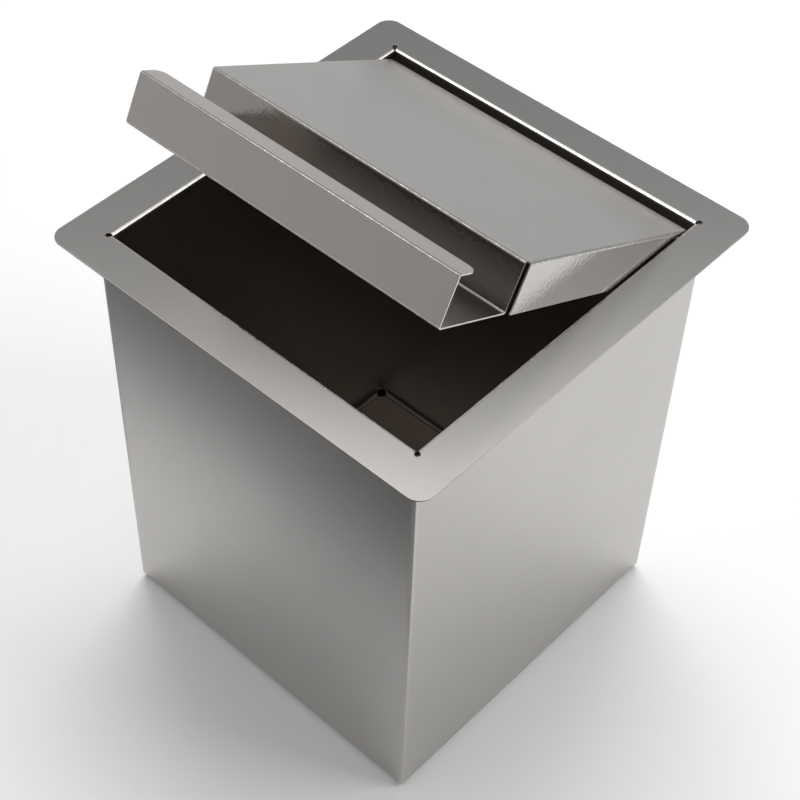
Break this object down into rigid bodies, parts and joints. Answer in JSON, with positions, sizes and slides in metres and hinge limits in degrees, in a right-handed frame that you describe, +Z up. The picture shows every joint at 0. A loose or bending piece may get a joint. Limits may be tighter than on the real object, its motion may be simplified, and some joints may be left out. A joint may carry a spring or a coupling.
{
  "type": "built-in countertop trash can",
  "caption": "Square sheet-metal waste bin that drops into a worktop, with a flat flange frame, a deep tub and a hinged lid with a finger channel along its front.",
  "frame": {"origin": "centre of the tub's flat underside", "axes": "+X to the right seen from the front, +Y from the finger channel towards the hinge, +Z up"},
  "size_m": [0.356, 0.356, 0.5273],
  "materials": {
    "frame_steel": "satin stainless sheet",
    "tub_steel": "satin stainless sheet",
    "lid_steel": "satin stainless sheet",
    "pivot_steel": "turned",
    "bush_nylon": "moulded",
    "spring_steel": "oiled",
    "bumper_rubber": "matte"
  },
  "bodies": {
    "bin": {"top_frame": "frame_steel", "tub": "tub_steel", "pivot_stud_left": "pivot_steel", "pivot_stud_right": "pivot_steel", "pivot_clip_left": "spring_steel", "pivot_clip_right": "spring_steel", "rest_bracket_left": "tub_steel", "rest_bracket_right": "tub_steel", "rest_bumper_left": "bumper_rubber", "rest_bumper_right": "bumper_rubber"},
    "lid": {"lid": "lid_steel", "pivot_bush_left": "bush_nylon", "pivot_bush_right": "bush_nylon"}
  },
  "joints": [
    {"name": "lid_hinge", "type": "hinge", "parent": "bin", "child": "lid", "pos_m": [0, 0.134, 0.395], "axis": [-1, 0, 0], "range_deg": [-27.3, 108]}
  ]
}
